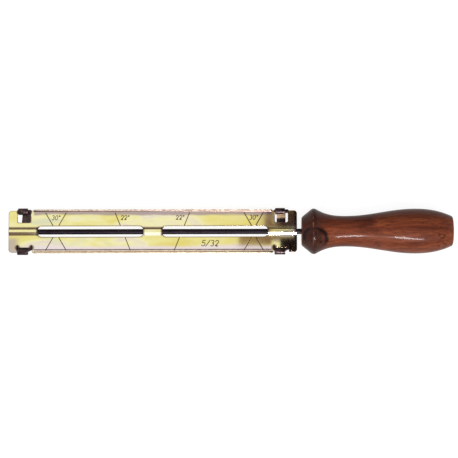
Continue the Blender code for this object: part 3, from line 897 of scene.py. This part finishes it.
def yellowZinc():
    # Yellow-passivated zinc: straw yellow with lilac and grey-green clouds, painted reflections in lilac,
    # rose, pale and brown, a painted highlight on a bulge, painted shade in creases, round openings and on
    # the hinge bars, and marks brown partly of their own and partly from painted shade
    f = Finish("yellowZinc", Metallic=1.0)
    x, y, _ = f.axes()
    clouds = f.noise(75, warp=0.6, stretch=(0.45, 1, 1))
    f.ramp(clouds, (0.30, 229, 214, 122), (0.46, 238, 229, 152), (0.58, 243, 237, 184), (0.70, 232, 218, 205))
    tint = f.noise(95, 2, warp=0.8, stretch=(0.4, 1.2, 1), move=(0.3, 0.1, 0))
    f.tint((206, 212, 194), f.range(tint, 0.56, 0.72, 0, 0.55))
    # deeper yellow towards the handle, then a brown painted reflection that leaves the rib bright, and a
    # painted highlight on the bulge
    s = f.attribute("blankAcross")
    offRib = f.range(f.math("ABSOLUTE", s), 3.6, 5.0)
    f.tint((228, 210, 106), f.range(x, -0.035, 0.012, 0, 0.6), offRib)
    bulgeX, bulgeY, reachX, reachY, _ = plate["bulge"]
    lit = f.range(f.squares((x, tipEnd + bulgeX, reachX), (y, bulgeY - 0.4, reachY)), 2.6, 0.2)
    f.tint((250, 242, 190), lit, 0.6)
    endReflection = f.range(x, 0.012, 0.034, 0, 0.6)
    unlit = f.math("SUBTRACT", offRib, lit, True)
    f.tint((158, 128, 104), endReflection, unlit, f.range(clouds, 0.3, 0.6, 0.75, 1))
    # painted reflection: the near side of the middle and the right rib is painted pale
    near = f.times(f.range(s, 0.4, -1.2), f.range(s, -3.9, -3.2))
    f.tint((248, 241, 216), near, f.range(x, -0.12, -0.1), 0.8)
    # painted reflections: a lilac band inside the upper flange and a rosy one inside the lower, both a little
    # wavy
    slow = f.noise(60, stretch=(0.5, 1, 1), move=(1, 2, 0))
    across = f.math("ADD", y, f.times(f.math("SUBTRACT", slow, 0.5), 0.005))
    between = f.attribute("between")
    f.tint((166, 146, 150), f.range(across, 0.0112, 0.0130), between, 0.85)
    f.tint((236, 222, 228), f.range(across, -0.0092, -0.0118), between, 0.85)
    # the tip's lower corner is greyed
    tip = tipEnd * mm
    f.tint((186, 168, 162), f.range(x, tip + 0.0095, tip + 0.0035), f.range(across, -0.0025, -0.0065), 0.8)
    grain = f.noise(2600, 2, 0.6)
    f.tint((160, 130, 90), f.range(grain, 0.4, 0.75, 0, 0.08))
    # flanges: mottled tan; painted shade: a dark line in the upper one's bend and one just inside the lower
    # one's
    upper = f.range(s, bendStart + bendLength * 0.7, bendStart + bendLength * 0.7 + 0.6)
    lower = f.range(s, -bendStart + 0.4, -bendStart)
    flange = f.times(f.most(upper, lower), between)
    speckle = f.noise(1100, 3, 0.6, stretch=(0.5, 1, 1))
    tan = f.mix(f.range(speckle, 0.42, 0.62), (250, 234, 214), (194, 166, 152))
    tan = f.mix(f.times(lower, 0.5), tan, (226, 204, 160))
    f.colour = f.mix(flange, f.colour, tan)
    f.tint((128, 98, 88), f.range(f.attribute("rimShare"), 0.3, 0.6), f.math("SUBTRACT", 1.0, flange), 0.8)
    lines = 0.0
    for centre, reach, share in ((bendStart + bendLength * 0.4, 0.9, 0.75), (0.85 - bendStart, 0.7, 0.95)):
        lines = f.most(lines, f.range(f.away(s, centre), reach, reach * 0.2, 0, share))
    # painted shade along the feet of the ribs too
    foot = f.away(s, (ribEnd + footEnd) / 2)
    creaseShade = f.most(f.times(lines, between), f.range(foot, 1.35, 0.2, 0, 0.8))
    creaseShade = f.times(creaseShade, f.range(speckle, 0.3, 0.6, 0.75, 1))
    f.tint((80, 58, 54), creaseShade)
    # painted shade: the upper foot of the left and middle ribs is painted browner
    f.tint((134, 104, 74), f.range(f.away(s, 2.6), 1.5, 0.7, 0, 0.6), f.range(x, -0.04, -0.045))
    # painted shade round the reliefs of the notches
    reliefAndLipShade, low = 0.0, plate["reliefDepth"] / 2 - plate["notchEdge"] - 0.6
    inset, width = plate["notchInset"], plate["notchLength"]
    for start in (inset, plateLength - inset - width):
        for side in (plate["reliefRadius"], width - plate["reliefRadius"]):
            away = f.math("SQRT", f.squares((x, tipEnd + start + side, 1), (y, low, 1)))
            reliefAndLipShade = f.most(reliefAndLipShade, f.range(away, 2.8, 1.0))
    # and painted shade on the lips at the ends of the slots, more on the ones that face the handle
    inSlot = f.range(f.math("ABSOLUTE", s), 4.0, 2.6)
    for left, right in slotSpans():
        for end, share in ((left, 1.0), (right, 0.6)):
            lip = f.times(f.range(f.away(x, (tipEnd + end) * mm), 0.0017, 0.0005, 0, share), inSlot)
            reliefAndLipShade = f.most(reliefAndLipShade, lip)
    f.tint((62, 46, 44), reliefAndLipShade, 0.85)
    # painted shade: the hinge bars are painted nearly black
    f.tint((60, 46, 45), f.attribute("barShare"))
    # the marks are brown, partly chromate pooled in them and partly painted shade
    mark = f.range(f.attribute("mark"), 0.02, 0.35)
    f.tint((58, 38, 36), mark, 0.95)
    rough = f.math("ADD", f.range(clouds, 0.3, 0.7, 0.11, 0.17), f.times(flange, 0.2))
    rough = f.math("ADD", rough, f.times(f.most(mark, creaseShade), 0.2))
    drawn = f.noise(1500, 2, stretch=(0.1, 1, 1))
    return f.done(rough, f.bump(drawn, 0.00001, 0.3, f.bump(grain, 0.00001, 0.2)))


def blackSpringSteel():
    # Blackened spring steel with an oily sheen, browned in places, brassy where a thumb works the strap,
    # partly wear and partly a painted highlight
    f = Finish("blackSpringSteel")
    blotch = f.noise(350, 4, 0.6)
    f.ramp(blotch, (0.3, 40, 33, 38), (0.6, 54, 43, 48), (0.75, 82, 66, 66))
    f.tint((126, 102, 92), f.range(f.noise(900), 0.4, 0.7), 0.45)
    worn = f.times(f.attribute("worn"), f.range(f.noise(600), 0.3, 0.5, 0.8, 1))
    f.tint((246, 212, 168), worn)
    f.set("Metallic", f.range(worn, 0, 1, 0.9, 0.5))
    rough = f.math("SUBTRACT", f.range(blotch, 0.3, 0.75, 0.24, 0.4), f.times(worn, 0.08))
    return f.done(rough, f.bump(f.noise(2200, 2), 0.00001, 0.4))


def fileSteel():
    # Dark file steel, blue-black in the cuts and brighter on the teeth's tips
    shine = (0.25, 0.22, 0.25, 1)
    f = Finish("fileSteel", Metallic=0.6, IOR=1.45, Specular_IOR_Level=0.1, Specular_Tint=shine)
    cut = f.attribute("toothDepth")
    mottled = f.noise(500, 3, 0.6, stretch=(0.3, 1, 1))
    f.ramp(mottled, (0.3, 27, 22, 27), (0.7, 44, 37, 44))
    f.tint((92, 84, 94), f.range(cut, 0.15, 0.0, 0, 0.2))
    return f.done(f.range(mottled, 0.3, 0.7, 0.34, 0.46), f.bump(mottled, 0.00002, 0.3))


def varnishedWood():
    # Red-brown stained hardwood: grain along the handle, dark figure, a knot at the bead, pores, varnish
    f = Finish("varnishedWood", Coat_Weight=0.3, Coat_Roughness=0.14, Coat_IOR=1.35, IOR=1.45,
               Specular_IOR_Level=0.05)
    figure = f.noise(90, 4, 0.55, 0.7, stretch=(0.16, 1, 1), turn=(0.3, 0.02, 0.05))
    fine = f.noise(1000, 4, 0.65, stretch=(0.05, 1, 1))
    f.ramp(figure, (0.30, 98, 49, 34), (0.44, 132, 67, 44), (0.56, 156, 82, 50), (0.70, 134, 68, 45))
    f.tint((82, 41, 30), f.range(fine, 0.4, 0.66, 0, 0.6))
    pores = f.range(f.noise(2400, 2, stretch=(0.12, 1, 1), move=(0.2, 0.4, 0.1)), 0.62, 0.70)
    f.tint((48, 24, 19), pores, 0.7)
    patch = f.range(f.noise(60, warp=0.5, stretch=(0.4, 1, 1), move=(0.7, 0, 0.2)), 0.56, 0.70)
    f.tint((66, 33, 26), patch, 0.4)
    # painted shade: one side, the bead and the front are painted darker; painted highlight: a light line
    # along the bead's crest
    x, y, _ = f.axes()
    f.tint((58, 31, 27), f.range(y, 0.0025, 0.012, 0, 0.6))
    f.tint((46, 27, 25), f.range(x, handleLow[0] * mm + 0.021, handleLow[0] * mm + 0.009), 0.7)
    fromCrest = f.away(x, (handleLow[0] + handle["beadAt"] - 0.9) * mm)
    crestHighlight = f.times(f.range(fromCrest, 0.0007, 0.0), f.range(f.noise(260, 2), 0.35, 0.6))
    crestHighlight = f.times(crestHighlight, f.range(f.math("ABSOLUTE", y), 0.0125, 0.007))
    f.tint((190, 124, 98), crestHighlight, 0.6)
    # the knot: a broken dark ring of bent grain round a point in the bead
    bent = f.node("TexNoise", {"Vector": f.place, "Scale": 110, "Detail": 2})["Color"]
    moved = {0: bent, 1: (0.006,) * 3, 2: f.stretched((1, 1, 1), move=(-0.003,) * 3)}
    moved = f.node("VectorMath", moved, operation="MULTIPLY_ADD")[0]
    knot = tuple(place * mm for place in handle["knot"])
    knotAt = f.node("VectorMath", {0: moved, 1: knot}, operation="DISTANCE")["Value"]
    knotRadius = handle["knotRadius"] * mm
    fromRing = f.range(f.away(knotAt, knotRadius), handle["knotWidth"] * mm, 0.0004)
    ring = f.times(fromRing, f.range(f.noise(150), 0.38, 0.5))
    ring = f.times(ring, f.range(y, -0.0125, -0.007, 0.35, 1))
    flecks = f.range(f.noise(420, 3, 0.6, stretch=(0.6, 1, 1), move=(0.1, 0.3, 0)), 0.56, 0.64)
    fromButt = f.away(x, handleHigh[0] * mm - 0.0085)
    butt = f.times(f.range(fromButt, 0.0055, 0.002, 0, 0.7), f.range(y, 0.005, 0.001))
    flecks = f.times(flecks, f.most(f.range(knotAt, knotRadius, knotRadius * 0.4), butt))
    f.tint((50, 28, 24), f.range(knotAt, knotRadius * 1.4, knotRadius * 0.8, 0, 0.4))
    f.tint((30, 18, 17), f.most(ring, flecks), 0.95)
    surface = f.bump(fine, 0.00004, 0.25, f.bump(pores, -0.00003, 0.4))
    return f.done(f.range(fine, 0.3, 0.7, 0.4, 0.55), surface)


# Studio: the camera of the photograph, a pale floor under the resting tool, soft lamps and dark cards

studio = {
    "span": 330.55,
    "look": (-1.237, 1.721, 1.0),
    "distance": 1500.0,
    "pitchDeg": 5.0,
    "rollDeg": -0.129,
    "floorSize": 3.0,
    "floorGrey": 0.26,
    "floorGlow": 0.87,
    "worldLight": 0.36,
}


def aim(obj, place, target, rollDeg=0.0):
    # Puts obj at place, looking at target with +Y of the frame upwards in its picture.
    forward = (Vector(target) - Vector(place)).normalized()
    right = forward.cross(Vector((0, 1, 0))).normalized()
    turn = Matrix((right, right.cross(forward), -forward)).transposed()
    turn = turn @ Matrix.Rotation(math.radians(rollDeg), 3, "Z")
    obj.matrix_world = Matrix.Translation(place) @ turn.to_4x4()


def makeCamera():
    data = bpy.data.cameras.new("photoCamera")
    data.sensor_width = 36
    data.sensor_fit = "HORIZONTAL"
    data.lens = data.sensor_width * studio["distance"] / studio["span"]
    camera = addObject("photoCamera", data)
    away = Vector((0, -math.tan(math.radians(studio["pitchDeg"])), 1)).normalized() * studio["distance"] * mm
    look = Vector(studio["look"]) * mm
    aim(camera, look + away, look, studio["rollDeg"])
    bpy.context.scene.camera = camera


def makeLamp(name, place, target, size, power, mirrored, rollDeg=0.0):
    data = bpy.data.lights.new(name, "AREA")
    data.shape = "RECTANGLE"
    data.size, data.size_y = size
    data.energy = power
    data.color = (1.0, 0.97, 0.99)
    lamp = addObject(name, data)
    # the soft lamp only lights surfaces, the other two only show in reflections
    lamp.visible_glossy, lamp.visible_diffuse = mirrored, not mirrored
    aim(lamp, place, target, rollDeg)


def backgroundRays(tree):
    # 1 for the rays that show the white background: to the camera, in a reflection or through glass.
    path = addNode(tree, "LightPath")
    seen = path["Is Camera Ray"]
    for ray in ("Is Glossy Ray", "Is Transmission Ray"):
        seen = addNode(tree, "Math", {0: seen, 1: path[ray]}, operation="MAXIMUM")[0]
    return seen


def makeSheet(name, corners, material):
    # One four-cornered sheet of the studio, which isn't part of the object.
    mesh = bpy.data.meshes.new(name)
    mesh.from_pydata(corners, [], [(0, 1, 2, 3)])
    mesh.materials.append(material)
    sheet = addObject(name, mesh)
    return sheet


def makeCard(name, height, across, depth, shade):
    # A studio card that only reflections see, in millimetres: level at one height, or from one height at
    # its near edge to another at its far edge.
    low, high = height if isinstance(height, tuple) else (height, height)
    (left, right), (near, far) = across, depth
    corners = [(left, near, low), (right, near, low), (right, far, high), (left, far, high)]
    material = bpy.data.materials.new(name)
    material.use_nodes = True
    tree = material.node_tree
    glow = addNode(tree, "Emission", {"Color": (*shade, 1)})[0]
    feed(tree.nodes["Material Output"].inputs["Surface"], glow)
    card = makeSheet(name, (np.array(corners) * mm).tolist(), material)
    card.visible_camera = card.visible_diffuse = card.visible_shadow = card.visible_transmission = False


def makeFloor():
    # A pale floor that touches the handle's bead and the tip clip's saddle, as the tool lies on a bench.
    bead = Vector((handleLow[0] + handle["beadAt"], 0, -handle["beadRadius"])) * mm
    clipLow, clipHigh = clipBoxes["tip_clip"]
    saddle = Vector(((clipLow[0] + clipHigh[0]) / 2, 0, clipLow[2])) * mm
    half = studio["floorSize"] / 2
    slope = (bead - saddle).normalized()
    side = Vector((0, 1, 0))
    corners = [saddle + slope * a * half + side * b * half for a, b in ((-1, -1), (1, -1), (1, 1), (-1, 1))]
    up = slope.cross(side).normalized() * 0.0001
    grey = studio["floorGrey"]
    f = Finish("paleFloor", Roughness=0.9, Specular_IOR_Level=0.1, Base_Color=(grey, grey, grey, 1),
               Emission_Color=(1, 1, 1, 1))
    f.set("Emission Strength", f.times(backgroundRays(f.tree), studio["floorGlow"]))
    makeSheet("paleFloor", [tuple(corner - up) for corner in corners], f.material)


def makeWorld():
    world = bpy.data.worlds.new("studioWorld")
    world.use_nodes = True
    bpy.context.scene.world = world
    tree = world.node_tree
    strength = addNode(tree, "MapRange", {"Value": backgroundRays(tree), "To Min": studio["worldLight"]})
    background = tree.nodes["Background"].inputs
    feed(background["Color"], (1, 1, 1, 1))
    feed(background["Strength"], strength[0])


def makeStudio():
    makeCamera()
    makeWorld()
    makeFloor()
    # name, place, target, size, power, seen in reflections, roll
    lamps = (
        ("softKey", (0.05, -0.36, 0.94), (0, 0, 0), (1.2, 0.7), 7.2, False),
        ("ribLamp", (0.05, -0.38, 0.5), (0.05, 0, 0), (0.12, 0.026), 0.7, True),
        ("streakLamp", (0.128, -0.43, 0.452), (0.128, 0, 0), (0.25, 0.032), 3.6, True, -24),
    )
    for lamp in lamps:
        makeLamp(*lamp)
    # name, height, from left to right, from near to far, colour
    cards = (
        # over the plate's handle end: dark, with brown edges and an opening that leaves one bright spot
        ("endDark", 30, (36.6, 50), (-20, -2), (0.01, 0.006, 0.018)),
        ("endDarkUpper", 60, (34.5, 50), (4, 22), (0.07, 0.045, 0.08)),
        ("endOver", 60, (50, 110), (-22, 240), (0.02, 0.013, 0.035)),
        ("endBrown", 60, (26, 32), (4, 240), (0.3, 0.2, 0.3)),
        ("endMiddle", 60, (32, 37), (2, 11), (0.3, 0.22, 0.34)),
        ("endLower", 40, (6, 29.5), (-7, 3), (0.36, 0.25, 0.26)),
        ("endAbove", 60, (30, 38), (-2, 2), (0.3, 0.22, 0.34)),
        # over the handle and before it, open for the strip lamp between them
        ("handleOver", 170, (58, 330), (-116, 240), (0.04, 0.028, 0.028)),
        ("handleBefore", (0, 100), (64, 420), (-330, -200), (0.04, 0.028, 0.028)),
        ("handleBehind", (20, 330), (50, 420), (300, 300.1), (0.04, 0.028, 0.028)),
        # behind the plate, for the far sides of the ribs
        ("plateBehind", (20, 190), (-800, 50), (300, 300.1), (0.26, 0.2, 0.2)),
        # before the plate: dark for the near side of the tip's rib, bright for the other two
        ("tipBefore", (0, 170), (-420, -150), (-250, -30), (0.2, 0.145, 0.25)),
        ("plateBefore", (0, 170), (-128, 62), (-330, -150), (1.15, 1.15, 1.25)),
    )
    for card in cards:
        makeCard(*card)


def main():
    print("plate")
    makePlate(yellowZinc())
    print("clips")
    black = blackSpringSteel()
    makeClip("tipClipStrap", "tip_clip", black, 0.0)
    makeClip("handleClipStrap", "handle_clip", black, 0.9)
    print("file")
    makeFile(fileSteel())
    print("handle")
    makeHandle(varnishedWood())
    print("studio")
    makeStudio()
    bpy.context.scene.view_settings.view_transform = "Standard"


main()
